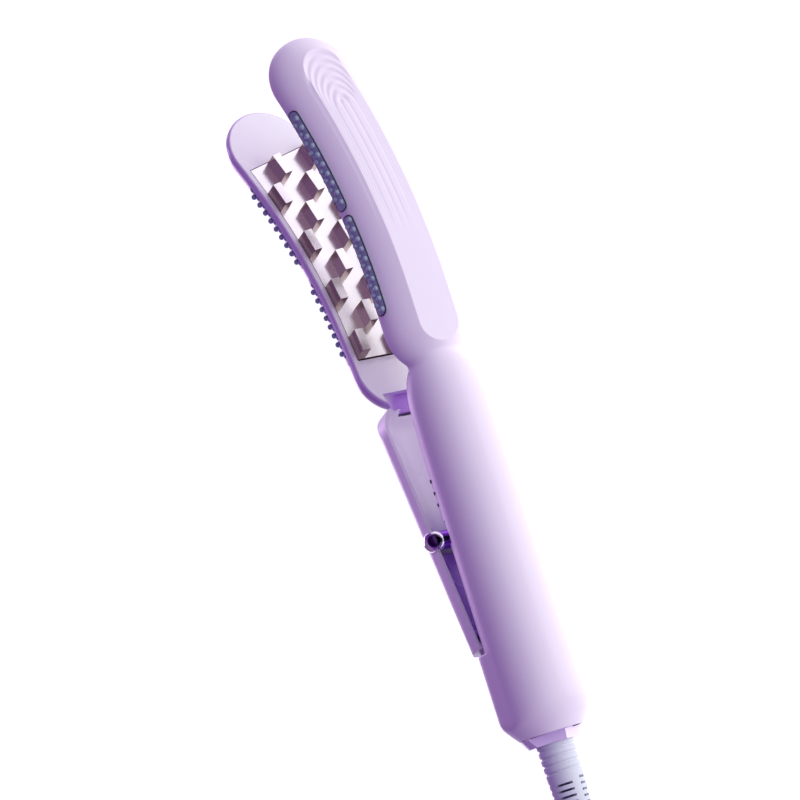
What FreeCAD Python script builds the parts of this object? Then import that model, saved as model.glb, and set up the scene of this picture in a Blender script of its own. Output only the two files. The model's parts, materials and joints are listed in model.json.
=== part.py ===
"""Hair crimper with curved heads: spring-open tongs, a round handle arm and a slim lever arm.

Working frame: X runs along the handle from the cord end to the tip, Y points from the handle arm to the
lever arm, Z is up, along the hinge axis, and the tool lies on its side. All shapes are first drawn with
the handle's axis on X and the lever arm closed. The lever arm is then swung open, and everything is
moved so that the origin is on the flat it rests on, below the hinge. Sizes are millimetres.
"""
import FreeCAD, Part
import math
import os

V = FreeCAD.Vector
os.makedirs("parts", exist_ok=True)

# ---------------------------------------------------------------- driving dimensions
OPEN_DEG = 10.8            # how far the lever arm stands open at rest
HINGE_X, HINGE_Y = 30.0, 8.3
CURVE_START = 149.0        # station where the heads begin to curve towards +Z
CURVE_R = 245.0            # radius of the heads' centre line

# Radius of the handle along X up to the dome that meets the head, then of the turned rounding
# of its cord end.
HANDLE_RADII = [(20.0, 13.6), (40.0, 13.5), (60.0, 13.4), (80.0, 13.35), (98.0, 13.2), (111.0, 12.9),
                (120.0, 12.1), (126.0, 11.6), (130.0, 10.5), (132.6, 8.4), (133.6, 5.5)]
END_RADII = [(4.6, 10.2), (6.0, 11.4), (7.7, 12.7), (10.0, 14.2), (13.0, 15.5), (17.0, 16.5), (23.0, 17.5),
             (34.0, 18.5)]
# Full section of the cord end, squarer towards the lever.
FULL_R, FULL_TOP_Y, FULL_CORNER = 13.6, 13.7, 7.9
HANDLE_FLAT_Y = 5.1        # flat of the handle under the lever
HOOD_X = 33.4              # where the full section ends and the lever begins
REST_Z = -13.2             # the side that the tool lies on
WALL = 2.2

HEAD_HALF = 14.5
HEAD_CROWN_Y, HEAD_RIM_Y = -9.6, 1.6
PANEL_Y, PANEL_HALF = -9.1, 7.0
HEAD_EDGE_R = 10.4
HEAD_S0, HEAD_S1 = 123.0, 241.2  # stations of the handle arm head's two round ends

ARM_HALF, ARM_BACK_HALF = 14.5, 13.3   # half widths of the rim and of the back, set in behind it
ARM_S0, ARM_S1 = 119.6, 238.6
ARM_FACE_Y, ARM_SEAM_Y, ARM_BACK_Y = 6.1, 8.5, 14.5
ARM_EDGE_R = 4.6
LEVER_X0, LEVER_X1 = 35.0, 123.0
LEVER_FACE_Y, LEVER_FLOOR_Y, LEVER_BACK_Y = 5.5, 11.0, 13.7
LEVER_HALF, LEVER_CORNER, LEVER_END_R = 13.2, 4.5, 11.5
LEVER_RIM = 1.1
TROUGH_X1 = 119.5
POCKET_X, POCKET_R, BOSS_R = 126.0, 8.6, 7.0

PLATE_S0, PLATE_S1 = 139.8, 219.3
PLATE_HALF = 12.1
PLATE_T = 1.6
MAIN_PLATE_Y = 0.3         # face of the handle arm's plate
WINDOW_GAP = 0.3

BUMP_L, BUMP_W, BUMP_H = 8.0, 3.2, 5.3
BUMP_DRAFT = 0.12
BUMP_PITCH = 20.2
BUMP_COLUMN = 6.95
BUMP_FIRST = 208.8         # tip end of the lever plate's first bump in its edge column
BUMP_ROWS = 4

STRIP_WIDE = 4.4
STRIP_DEEP = 1.9
STRIP_PROUD = 0.15
STRIP_END_R = 1.8
NUB_R, NUB_PITCH, NUB_ROW = 0.95, 3.6, 1.05
MAIN_STRIPS = ((182.0, 220.0), (144.0, 179.8))
ARM_STRIPS = ((180.0, 215.4), (140.6, 175.0))

PIN_R, PIN_HALF = 1.25, 12.4
HINGE_CLEAR = 0.05
BARREL_R = 2.6
BUSH_R = 1.95
EAR_IN, EAR_OUT = 4.6, 10.4

BOLT_X, BOLT_Y, BOLT_R = 73.0, 6.8, 3.0
BOLT_Z0, BOLT_DOME_Z = -6.4, 12.3
RUN_CLEAR = 0.06

BUTTON_X, BUTTON_R = 102.0, 4.0
LENS_X, LENS_STEP, LENS_R = 82.0, 3.9, 0.6
LENS_IN, LENS_OUT = (3.85, 10.95), (4.95, 12.7)
SCREW_R = 1.1
ARM_SCREWS = (131.5, 226.0)

CORD_Y = 2.4               # the cord's axis where it leaves the handle
MOUTH_R = 9.5              # opening for the plated end piece
BEZEL_X0, BEZEL_X1, BEZEL_FOOT_X, BEZEL_END_X = 1.4, 4.4, 7.0, 10.0
BEZEL_TIP_R, BEZEL_RIM_R = 8.3, 10.0
FACETS = ((146.0, 7.0), (-146.0, 7.0), (0.0, 8.0))     # turn about the cord and distance from it
FACET_SLANT = 9.0
FLANGE_R = 8.2

BOOT_R0, BOOT_R1, BOOT_L = 5.9, 4.6, 48.0
BOOT_X0 = 3.0
GROOVE_X, GROOVES, GROOVE_PITCH, GROOVE_DEEP = 0.4, 4, 2.4, 0.45
SLOT_X, SLOTS, SLOT_PITCH = -10.6, 15, 1.95
SLOT_WIDE, SLOT_HALF, SLOT_FLOOR_R = 0.7, 2.9, 3.9
CORD_R = 2.75

LEAD = [
    (-44.0, CORD_Y, 0.0),
    (-57.0, 2.3, -1.0),
    (-70.0, 0.9, -4.2),
    (-84.0, -2.2, -8.2),
    (-98.0, -6.4, -10.1),
    (-113.0, -10.2, -10.35),
    (-128.0, -11.6, -10.35),
]
COIL_C = (-128.0, 28.0)    # centre of the put-away coil
COIL_R_OUT, COIL_R_IN = 43.0, 18.6
COIL_H = 11.4
TAIL = [
    (-128.0, 67.6, -4.9),
    (-108.0, 66.9, -6.0),
    (-88.0, 66.4, -6.4),
]
PLUG_C = (-88.0, 66.4, -6.4)
PLUG_L, PLUG_W, PLUG_T = 36.0, 32.0, 13.2
PIN_PLUG_R, PIN_PLUG_L, PIN_PLUG_GAP = 2.0, 19.0, 18.6
TIE_WIDE, TIE_T = 12.0, 1.0

ORIGIN = V(HINGE_X, 0, REST_Z)

arm_nodes = {}
main_nodes = {}


# ---------------------------------------------------------------- geometry helpers
def plan(s, q):
    """Point (x, z) at station s along the centre line and distance q towards the concave side."""
    if s <= CURVE_START:
        return s, q
    a = (s - CURVE_START) / CURVE_R
    return CURVE_START + (CURVE_R - q) * math.sin(a), CURVE_R - (CURVE_R - q) * math.cos(a)


def tangent_deg(s):
    """Heading of the centre line, in degrees from +X towards +Z."""
    return 0.0 if s <= CURVE_START else math.degrees((s - CURVE_START) / CURVE_R)


def at(s, q, y):
    x, z = plan(s, q)
    return V(x, y, z)


def arc3(a, b, c):
    return Part.Arc(a, b, c).toShape()


def side_edges(s0, s1, q, y):
    """Edges of the curve at distance q, from station s0 to s1: a straight part, then an arc."""
    edges = []
    knee = min(max(CURVE_START, s0), s1)
    if knee - s0 > 1e-6:
        edges.append(Part.LineSegment(at(s0, q, y), at(knee, q, y)).toShape())
    if s1 - knee > 1e-6:
        edges.append(arc3(at(knee, q, y), at((knee + s1) / 2, q, y), at(s1, q, y)))
    return edges


def band(s0, s1, q_in, q_out, y0, y1, round0=False, round1=False):
    """A slab between stations s0 and s1, from -q_out to q_in across, and from y0 to y1 in depth."""
    r = (q_in + q_out) / 2
    mid = (q_in - q_out) / 2
    a = s0 + r if round0 else s0
    b = s1 - r if round1 else s1
    edges = side_edges(a, b, q_in, y0)
    if round1:
        edges.append(arc3(at(b, q_in, y0), at(s1, mid, y0), at(b, -q_out, y0)))
    else:
        edges.append(Part.LineSegment(at(b, q_in, y0), at(b, -q_out, y0)).toShape())
    edges += side_edges(a, b, -q_out, y0)
    if round0:
        edges.append(arc3(at(a, q_in, y0), at(s0, mid, y0), at(a, -q_out, y0)))
    else:
        edges.append(Part.LineSegment(at(a, q_in, y0), at(a, -q_out, y0)).toShape())
    wire = Part.Wire(Part.__sortEdges__(edges))
    return Part.Face(wire).extrude(V(0, y1 - y0, 0))


def round_edges(solid, radius, y):
    """Fillets the edges that lie wholly in the plane at height y."""
    chosen = [e for e in solid.Edges if abs(e.BoundBox.YMin - y) < 1e-4 and abs(e.BoundBox.YMax - y) < 1e-4]
    return solid.makeFillet(radius, chosen)


def box(x0, x1, y0, y1, z0, z1):
    return Part.makeBox(x1 - x0, y1 - y0, z1 - z0, V(x0, y0, z0))


def rod(r, a, b):
    return Part.makeCylinder(r, (b - a).Length, a, b - a)


def outline_top(x, half, top, c):
    """Edges of an outline across X on the lever side, from z = +half round to z = -half."""
    d = c * (1 - math.sqrt(0.5))
    p = [V(x, 0, -half), V(x, top - c, -half), V(x, top - d, -half + d), V(x, top, -half + c),
         V(x, top, half - c), V(x, top - d, half - d), V(x, top - c, half), V(x, 0, half)]
    return [Part.LineSegment(p[0], p[1]).toShape(), arc3(p[1], p[2], p[3]),
            Part.LineSegment(p[3], p[4]).toShape(), arc3(p[4], p[5], p[6]),
            Part.LineSegment(p[6], p[7]).toShape()]


def lever_section(x):
    """Closed outline of the lever across X: flat back with rounded corners."""
    base = Part.LineSegment(V(x, 0, LEVER_HALF), V(x, 0, -LEVER_HALF)).toShape()
    return Part.Face(Part.Wire([base] + outline_top(x, LEVER_HALF, LEVER_BACK_Y, LEVER_CORNER)))


def full_section(x, inset=0.0):
    """Closed outline of the handle's cord end: round, and squarer towards the lever."""
    r = FULL_R - inset
    base = arc3(V(x, 0, r), V(x, -r, 0), V(x, 0, -r))
    return Part.Face(Part.Wire([base] + outline_top(x, r, FULL_TOP_Y - inset, FULL_CORNER - inset)))


def cord_end(inset=0.0):
    x0, x1 = END_RADII[0][0], HOOD_X - inset
    return full_section(x0, inset).extrude(V(x1 - x0, 0, 0)).common(barrel(END_RADII, CORD_Y, inset))


def barrel(radii, axis_y=0.0, inset=0.0):
    """Solid turned about X under a smooth curve through (x, radius) points, with flat ends."""
    points = [V(x, axis_y + r - inset, 0) for x, r in radii]
    curve = Part.BSplineCurve()
    curve.interpolate(points)
    first, last = V(points[0].x, axis_y, 0), V(points[-1].x, axis_y, 0)
    edges = [Part.LineSegment(first, points[0]).toShape(), curve.toShape(),
             Part.LineSegment(points[-1], last).toShape(), Part.LineSegment(last, first).toShape()]
    return Part.Face(Part.Wire(edges)).revolve(V(0, axis_y, 0), V(1, 0, 0), 360)


def turned(profile, axis_y=0.0):
    """Solid of revolution about X from (x, radius) points."""
    points = [V(x, axis_y + r, 0) for x, r in profile]
    return Part.Face(Part.makePolygon(points + [points[0]])).revolve(V(0, axis_y, 0), V(1, 0, 0), 360)


def swing(shape):
    """Swings a shape drawn with the lever arm closed to the open rest position."""
    moved = shape.copy()
    moved.rotate(V(HINGE_X, HINGE_Y, 0), V(0, 0, 1), OPEN_DEG)
    return moved


# ---------------------------------------------------------------- crimping plates
def bump(s_tip, q, y, out):
    """One block on a plate's face at height y. out is -1 or +1: the way it stands along Y."""
    mid = s_tip - BUMP_L / 2
    half_l, half_w = BUMP_L / 2, BUMP_W / 2
    top_l, top_w = half_l - BUMP_DRAFT, half_w - BUMP_DRAFT
    foot = Part.makePolygon([V(-half_l, 0, -half_w), V(half_l, 0, -half_w), V(half_l, 0, half_w),
                             V(-half_l, 0, half_w), V(-half_l, 0, -half_w)])
    top = Part.makePolygon([V(-top_l, out * BUMP_H, -top_w), V(top_l, out * BUMP_H, -top_w),
                            V(top_l, out * BUMP_H, top_w), V(-top_l, out * BUMP_H, top_w),
                            V(-top_l, out * BUMP_H, -top_w)])
    block = Part.makeLoft([foot, top], True, True)
    block.rotate(V(0, 0, 0), V(0, 1, 0), -tangent_deg(mid))
    block.translate(at(mid, q, y))
    return block


def crimp_plate(y, out, edge_shift):
    """A plate with four columns of bumps; edge_shift moves the edge columns along by part of a pitch."""
    base = band(PLATE_S0, PLATE_S1, PLATE_HALF, PLATE_HALF, y, y - out * PLATE_T)
    blocks = []
    for column in range(4):
        q = (1.5 - column) * BUMP_COLUMN
        shifted = (column % 2 == 1) != edge_shift
        first = BUMP_FIRST + (BUMP_PITCH / 2 if shifted else 0.0)
        blocks += [bump(first - row * BUMP_PITCH, q, y, out) for row in range(BUMP_ROWS)]
    return base.multiFuse(blocks)


# ---------------------------------------------------------------- silicone bead strips
def wall_offset(y):
    """How far the handle arm head's side wall has turned in at height y, below its straight part."""
    drop = HEAD_CROWN_Y + HEAD_EDGE_R - y
    return 0.0 if drop <= 0 else HEAD_EDGE_R - math.sqrt(HEAD_EDGE_R ** 2 - drop ** 2)


def bead_strip(s0, s1, wall_q, y_mid, skin, curved_wall):
    """A strip set in the concave side wall, flush with the skin, with two staggered rows of nubs."""
    body = strip_pocket(s0, s1, wall_q, y_mid).common(skin)
    nubs = []
    count = int((s1 - s0 - 2.4) / NUB_PITCH) + 1
    start = (s0 + s1 - (count - 1) * NUB_PITCH) / 2
    for row, dy in enumerate((-NUB_ROW, NUB_ROW)):
        q = wall_q + STRIP_PROUD - (wall_offset(y_mid + dy) if curved_wall else 0.0)
        for i in range(count - row):
            s = start + (i + row / 2) * NUB_PITCH
            nubs.append(Part.makeSphere(NUB_R, at(s, q, y_mid + dy)))
    return body.multiFuse(nubs)


def strip_pocket(s0, s1, wall_q, y_mid):
    half = STRIP_WIDE / 2
    slab = band(s0, s1, wall_q + 2.0, -(wall_q - STRIP_DEEP), y_mid - half, y_mid + half)
    ends = [at(s, wall_q, y_mid) for s in (s0, s1)]
    corners = [e for e in slab.Edges if e.BoundBox.YLength < 1e-6 and e.Length < STRIP_DEEP + 2.5
               and min((e.CenterOfMass - p).Length for p in ends) < 3.5]
    return slab.makeFillet(STRIP_END_R, corners)


def below_rest():
    """Everything beyond the flat on which the tool lies."""
    return box(-20, 260, -60, 90, REST_Z - 40, REST_Z)


def main_skin(grow=0.0):
    skin = band(HEAD_S0, HEAD_S1 + grow, HEAD_HALF + grow, HEAD_HALF + grow, HEAD_CROWN_Y - grow,
                HEAD_RIM_Y, True, True)
    skin = round_edges(skin, HEAD_EDGE_R + grow, HEAD_CROWN_Y - grow)
    inset = HEAD_HALF - PANEL_HALF
    panel = band(HEAD_S0 + inset, HEAD_S1 - inset, PANEL_HALF, PANEL_HALF, -20, PANEL_Y, True, True)
    return skin.cut(panel)


def arm_skin(grow=0.0):
    step = ARM_HALF - ARM_BACK_HALF
    skin = band(ARM_S0 + step, ARM_S1 - step + grow, ARM_BACK_HALF + grow, ARM_BACK_HALF + grow, ARM_SEAM_Y,
                ARM_BACK_Y + grow, True, True)
    return round_edges(skin, ARM_EDGE_R + grow, ARM_BACK_Y + grow).cut(below_rest())


MAIN_STRIP_Y = HEAD_RIM_Y - STRIP_WIDE / 2 - 0.5
ARM_STRIP_Y = ARM_SEAM_Y + STRIP_WIDE / 2


# ---------------------------------------------------------------- handle arm
def bolt_axis(z0, z1, r):
    return rod(r, V(BOLT_X, BOLT_Y, z0), V(BOLT_X, BOLT_Y, z1))


def build_main_shell():
    handle = barrel(HANDLE_RADII).fuse(cord_end())
    lever_room = box(HOOD_X, 160, HANDLE_FLAT_Y, 30, -30, 30)
    shell = handle.cut(lever_room).fuse(main_skin()).cut(below_rest())
    room = barrel(HANDLE_RADII[:-2], 0.0, WALL).fuse(cord_end(WALL).cut(box(0, 9, -30, 30, -30, 30)))
    room = room.cut(box(HOOD_X - 3.0, HOOD_X + 2.4, HANDLE_FLAT_Y - 4.0, 30, -30, 30))
    head_room = band(HEAD_S0 + 3, HEAD_S1 - WALL, HEAD_HALF - WALL, HEAD_HALF - WALL,
                     HEAD_CROWN_Y + WALL, HEAD_RIM_Y + 5, True, True)
    head_room = round_edges(head_room, HEAD_EDGE_R - WALL, HEAD_CROWN_Y + WALL)
    mouth = turned([(0, 0), (0, MOUTH_R), (14, MOUTH_R), (14, 0)], CORD_Y)
    pins = rod(PIN_R, V(HINGE_X, HINGE_Y, -PIN_HALF), V(HINGE_X, HINGE_Y, PIN_HALF))
    notch = BOLT_R + 0.6
    groove = bolt_axis(0, 30, notch).fuse(box(BOLT_X - notch, BOLT_X + notch, BOLT_Y, 12, 0, 30))
    shell = shell.cut(room).cut(head_room).cut(mouth).cut(pins).cut(groove).cut(hinge_room())
    for s0, s1 in MAIN_STRIPS:
        shell = shell.cut(strip_pocket(s0, s1, HEAD_HALF, MAIN_STRIP_Y))
    return shell.cut(Part.makeCompound(lenses()))


def lenses():
    """Three small lenses side by side in the edge of the handle's flat."""
    places = [LENS_X + i * LENS_STEP for i in range(3)]
    return [rod(LENS_R, V(x, *LENS_IN), V(x, *LENS_OUT)) for x in places]


def hinge_room():
    """Clear space in the handle for the lever's two hinge ears and the spring."""
    swing_r = BARREL_R + 0.4
    ears = rod(swing_r, V(HINGE_X, HINGE_Y, -EAR_OUT - 0.4), V(HINGE_X, HINGE_Y, EAR_OUT + 0.4))
    door = box(HINGE_X, HOOD_X + 3, HINGE_Y - 3.0, HINGE_Y + 4.6, -EAR_OUT - 0.4, EAR_OUT + 0.4)
    return ears.fuse(door)


def build_main_face():
    """Flat inner cover of the head, round the plate."""
    gap = WALL + 0.1
    half = HEAD_HALF - gap
    face = band(HEAD_S0 + 3.1, HEAD_S1 - gap, half, half, HEAD_RIM_Y - 1.6, HEAD_RIM_Y, True, True)
    window = band(PLATE_S0 - WINDOW_GAP, PLATE_S1 + WINDOW_GAP, 30, 30, -20, 20)
    return face.cut(window).cut(barrel(HANDLE_RADII))


def build_handle_cover():
    half = HANDLE_RADII[0][1]
    cover = box(HOOD_X + 2.6, 135, HANDLE_FLAT_Y - 2.0, HANDLE_FLAT_Y, -half, half)
    cover = cover.common(barrel(HANDLE_RADII[:-2], 0.0, WALL + 0.1))
    boss = rod(BOSS_R, V(POCKET_X - 1, HANDLE_FLAT_Y - 0.5, 0), V(POCKET_X - 1, HANDLE_FLAT_Y + 2.4, 0))
    boss = boss.common(box(100, POCKET_X - 2, 0, 20, -20, 20))
    cover = cover.fuse(boss)
    catch_slot = box(BOLT_X - 4.3, BOLT_X + 4.3, 0, 10, -9.8, -7.8)
    ear_room = box(BOLT_X - 5.4, BOLT_X + 5.4, 2.0, 10, -7.8, half)
    hole = rod(BUTTON_R + 0.35, V(BUTTON_X, 0, 0), V(BUTTON_X, 10, 0))
    cover = cover.cut(catch_slot).cut(ear_room).cut(hole)
    for x, z in screw_places():
        cover = cover.cut(rod(SCREW_R, V(x, 0, z), V(x, 10, z)))
        cover = cover.cut(rod(2 * SCREW_R, V(x, HANDLE_FLAT_Y - 0.9, z), V(x, 10, z)))
    return cover


def screw_places():
    return [(x, z) for x in (44.0, 112.0) for z in (-6.9, 6.9)]


def build_screw(x, y, z, out, length):
    """Pan-head screw along Y whose head lies on the out side of y."""
    head = rod(2 * SCREW_R - 0.05, V(x, y, z), V(x, y + out * 0.8, z))
    shank = rod(SCREW_R, V(x, y - out * length, z), V(x, y, z))
    y0, y1 = sorted((y + 0.4 * out, y + 0.9 * out))
    slot = box(x - 1.5, x + 1.5, y0, y1, z - 0.25, z + 0.25)
    return head.fuse(shank).cut(slot)


def build_lock_catch():
    plate = box(BOLT_X - 4.2, BOLT_X + 4.2, 0.3, BOLT_Y + BOLT_R + 1.3, -9.7, -7.9)
    plate = plate.makeFillet(2.0, [e for e in plate.Edges
                                   if e.BoundBox.ZLength > 1.5 and e.BoundBox.YMin > BOLT_Y])
    return plate.cut(bolt_axis(-12, -6, BOLT_R + 0.35))


def build_boot():
    """Tapered sleeve with ring grooves by the handle, then four columns of staggered slots."""
    profile = [(BOOT_X0, BOOT_R0)]
    for i in range(GROOVES):
        x = GROOVE_X - i * GROOVE_PITCH
        r = BOOT_R0 - 0.04 * i
        floor = r - GROOVE_DEEP
        profile += [(x, r), (x - 0.35, floor), (x - 0.75, floor), (x - 1.1, r)]
    profile += [(BOOT_X0 - BOOT_L + 1.0, BOOT_R1), (BOOT_X0 - BOOT_L, BOOT_R1 - 0.8)]
    profile += [(BOOT_X0 - BOOT_L, CORD_R), (BOOT_X0, CORD_R)]
    boot = turned(profile)
    slots = []
    for column in range(4):
        for i in range(SLOTS):
            x = SLOT_X - (i + 0.5 * (column % 2)) * SLOT_PITCH
            slot = box(x - SLOT_WIDE / 2, x + SLOT_WIDE / 2, SLOT_FLOOR_R, 9, -SLOT_HALF, SLOT_HALF)
            slot.rotate(V(0, 0, 0), V(1, 0, 0), 45 + 90 * column)
            slots.append(slot)
    return boot.cut(Part.makeCompound(slots)).translate(V(0, CORD_Y, 0))


def build_bezel():
    """Plated end piece: a short cone with three flats and a bore for the boot, held by a round foot."""
    nose = Part.makeCone(BEZEL_TIP_R, BEZEL_RIM_R, BEZEL_X1 - BEZEL_X0, V(BEZEL_X0, 0, 0), V(1, 0, 0))
    for turn, away in FACETS:
        slab = box(BEZEL_X0 - 10, BEZEL_X1 + 10, away, away + 20, -20, 20)
        slab.rotate(V(BEZEL_X1, away, 0), V(0, 0, 1), FACET_SLANT)
        slab.rotate(V(0, 0, 0), V(1, 0, 0), turn)
        nose = nose.cut(slab)
    neck_r = FLANGE_R - 1.2
    foot_r = MOUTH_R - 0.02
    foot = turned([(BEZEL_X1, 0), (BEZEL_X1, neck_r), (BEZEL_FOOT_X, neck_r), (BEZEL_FOOT_X, foot_r),
                   (BEZEL_END_X, foot_r), (BEZEL_END_X, 0)])
    bore = rod(BOOT_R0 + 0.35, V(-10, 0, 0), V(20, 0, 0))
    return nose.fuse(foot).cut(bore).translate(V(0, CORD_Y, 0))


def torus_spring():
    """Torsion spring round the hinge pin: a coil with a leg along the handle and one under the lever."""
    mean, wire, turns, half = 2.55, 0.4, 6, 3.6
    helix = Part.makeHelix(2 * half / turns, 2 * half, mean)
    start = helix.Edges[0].Vertexes[0].Point
    section = Part.Wire([Part.Circle(start, V(0, 1, 0), wire).toShape()])
    coil = Part.Wire(helix.Edges).makePipeShell([section], True, True)
    coil.translate(V(HINGE_X, HINGE_Y, -half))
    low = rod(wire, V(HINGE_X - mean, HINGE_Y, -half), V(HINGE_X - mean - 1, HINGE_Y - 8.2, -half))
    high = rod(wire, V(HINGE_X + 0.5, HINGE_Y - mean, half), V(HINGE_X + 14.6, HINGE_Y + 3.6, half))
    return coil.multiFuse([low, high])


def build_main():
    n = main_nodes
    n["main_shell"] = build_main_shell()
    n["main_face"] = build_main_face()
    n["main_plate"] = crimp_plate(MAIN_PLATE_Y, 1, True)
    carrier_y = MAIN_PLATE_Y - PLATE_T
    n["main_plate_carrier"] = band(PLATE_S0 + 1, PLATE_S1 - 1, 10.4, 9.6, carrier_y - 1.8, carrier_y).cut(
        band(PLATE_S0 + 7, PLATE_S1 - 7, 5.4, 5.4, carrier_y - 3, carrier_y + 1))
    n["main_heater"] = band(PLATE_S0 + 8, PLATE_S1 - 8, 5.0, 5.0, carrier_y - 1.2, carrier_y)
    for name, (s0, s1) in zip(("main_bead_strip_tip", "main_bead_strip_neck"), MAIN_STRIPS):
        n[name] = bead_strip(s0, s1, HEAD_HALF, MAIN_STRIP_Y, main_skin(STRIP_PROUD), True)
    n["handle_cover"] = build_handle_cover()
    n["cover_screws"] = Part.makeCompound(
        [build_screw(x, HANDLE_FLAT_Y - 0.9, z, 1, 4.0) for x, z in screw_places()])
    n["indicator_lenses"] = Part.makeCompound(lenses())
    board = box(60, 116, -1.8, -0.2, -9, 9)
    parts = [box(64, 70, -6, -1.8, -6, 2), rod(3, V(96, -1.8, -4), V(96, -7.8, -4)),
             box(84, 92, -0.2, 1.0, -8, -4)]
    n["control_board"] = board.multiFuse(parts)
    n["button_switch"] = box(BUTTON_X - 3, BUTTON_X + 3, -0.2, 0.9, -3, 3)
    n["thermal_fuse"] = rod(1.4, at(176, -2, -5.6), at(186, -2, -5.6))
    n["heater_wires"] = Part.makeCompound(
        [rod(0.6, V(112, -5.4, z), V(156, -5.4, z)) for z in (-2.5, 0.0, 2.5)])
    n["hinge_pin"] = rod(PIN_R, V(HINGE_X, HINGE_Y, -PIN_HALF), V(HINGE_X, HINGE_Y, PIN_HALF))
    n["return_spring"] = torus_spring()
    n["lock_catch"] = build_lock_catch()
    n["end_bezel"] = build_bezel()
    clamp = box(21.5, 29.5, -4.6, -2.85, -9, 9).multiFuse(
        [box(21.5, 29.5, -4.6, 2.0, 4.2, 9), box(21.5, 29.5, -4.6, 2.0, -9, -4.2)])
    n["cord_clamp"] = clamp.translate(V(0, CORD_Y, 0))
    n["power_button"] = rod(BUTTON_R, V(BUTTON_X, 2.4, 0), V(BUTTON_X, HANDLE_FLAT_Y + 0.35, 0)).fuse(
        rod(BUTTON_R + 1.0, V(BUTTON_X, 2.0, 0), V(BUTTON_X, 2.8, 0)))
    n["cord_boot"] = build_boot()
    neck_r = BOOT_R0 - 0.9
    n["boot_flange"] = turned([(10.3, FLANGE_R), (13.5, FLANGE_R), (13.5, CORD_R), (BOOT_X0, CORD_R),
                               (BOOT_X0, neck_r), (10.3, neck_r)], CORD_Y)


# ---------------------------------------------------------------- lever arm, drawn closed
def build_arm_back():
    lever = lever_section(LEVER_X0).extrude(V(LEVER_X1 - LEVER_X0, 0, 0))
    plan_form = box(LEVER_X0, LEVER_X1, 0, 30, -LEVER_HALF, LEVER_HALF)
    plan_form = plan_form.makeFillet(LEVER_END_R, [e for e in plan_form.Edges
                                           if e.BoundBox.YLength > 1 and e.BoundBox.XMin > LEVER_X1 - 1])
    lever = lever.common(plan_form).common(box(0, 200, LEVER_FACE_Y, 30, -30, 30))
    arm = lever.fuse(arm_skin())
    trough = band(LEVER_X0 + 2.0, TROUGH_X1, LEVER_HALF - LEVER_RIM, LEVER_HALF - LEVER_RIM,
                  LEVER_FACE_Y - 1, LEVER_FLOOR_Y)
    trough = trough.makeFillet(8.0, [e for e in trough.Edges if e.BoundBox.YLength > 3 and
                                     e.BoundBox.XMin > 100])
    room = band(PLATE_S0 - 1, PLATE_S1 + 1, PLATE_HALF, PLATE_HALF, ARM_SEAM_Y - 1, 12.6)
    under_face = band(ARM_S0 - 2, ARM_S1 + 2, ARM_HALF + 2, ARM_HALF + 2, 0, ARM_SEAM_Y, True, True)
    arm = arm.cut(trough).cut(room).cut(under_face)
    channel = box(LEVER_X0 - 1, 142, LEVER_FLOOR_Y - 0.1, LEVER_FLOOR_Y + 2.0, -4.0, 4.0)
    arm = arm.cut(channel)
    ears = []
    for side in (-1, 1):
        z0, z1 = sorted((side * EAR_IN, side * EAR_OUT))
        barrel = rod(BARREL_R, V(HINGE_X, HINGE_Y, z0), V(HINGE_X, HINGE_Y, z1))
        web = box(HINGE_X, LEVER_X0 + 1.0, HINGE_Y - 1.4, HINGE_Y + 2.3, z0, z1)
        ears.append(barrel.fuse(web))
    ear = box(BOLT_X - 4.8, BOLT_X + 4.8, BOLT_Y - 3.9, LEVER_FLOOR_Y + 0.5, -6.4, -4.1)
    arm = arm.multiFuse(ears + [ear])
    hinge_bore = rod(BUSH_R, V(HINGE_X, HINGE_Y, -30), V(HINGE_X, HINGE_Y, 30))
    arm = arm.cut(hinge_bore).cut(bolt_axis(-8, 30, BOLT_R + RUN_CLEAR))
    wall_slot = box(BOLT_X - BOLT_R - RUN_CLEAR, BOLT_X + BOLT_R + RUN_CLEAR, 0, BOLT_Y, 6, 30)
    arm = arm.cut(wall_slot)
    catch_room = box(BOLT_X - 5.0, BOLT_X + 5.0, 0, LEVER_FLOOR_Y + 1.1, -10.5, -7.2)
    leg_notch = box(LEVER_X0 - 1, LEVER_X0 + 3, 0, HINGE_Y + 2.2, 2.8, 4.4)
    arm = arm.cut(catch_room).cut(leg_notch).cut(spoon_pocket(9.2))
    for s0, s1 in ARM_STRIPS:
        arm = arm.cut(strip_pocket(s0, s1, ARM_BACK_HALF, ARM_STRIP_Y))
    for s in ARM_SCREWS:
        x, y, z = arm_screw_place(s)
        arm = arm.cut(rod(SCREW_R, V(x, y, z), V(x, y + 3.0, z)))
        arm = arm.cut(rod(2 * SCREW_R, V(x, ARM_SEAM_Y - 1, z), V(x, y, z)))
    return arm


def spoon_pocket(floor_y):
    """Half-round pocket in the neck of the lever arm, over the handle's boss."""
    round_pocket = rod(POCKET_R, V(POCKET_X, 0, 0), V(POCKET_X, floor_y, 0))
    return round_pocket.common(box(100, POCKET_X, 0, 20, -20, 20))


def build_arm_face():
    """Inner cover of the lever arm's head: tip pad, rims beside the plate and spoon pad."""
    face = band(ARM_S0, ARM_S1, ARM_HALF, ARM_HALF, ARM_FACE_Y, ARM_SEAM_Y, True, True)
    face = face.makeFillet(1.0, [e for e in face.Edges if abs(e.BoundBox.YMax - ARM_FACE_Y) < 1e-4])
    window = band(PLATE_S0 - WINDOW_GAP, PLATE_S1 + WINDOW_GAP, PLATE_HALF + 0.2, PLATE_HALF + 0.2, 0, 20)
    ledge = band(PLATE_S0 - 2.2, PLATE_S0 + 1, PLATE_HALF, PLATE_HALF, 0, ARM_FACE_Y + 0.9)
    lever_side = box(0, 121.4, 0, 20, -30, 30)
    return face.cut(window).cut(ledge).cut(spoon_pocket(ARM_SEAM_Y)).cut(lever_side).cut(below_rest())


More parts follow.
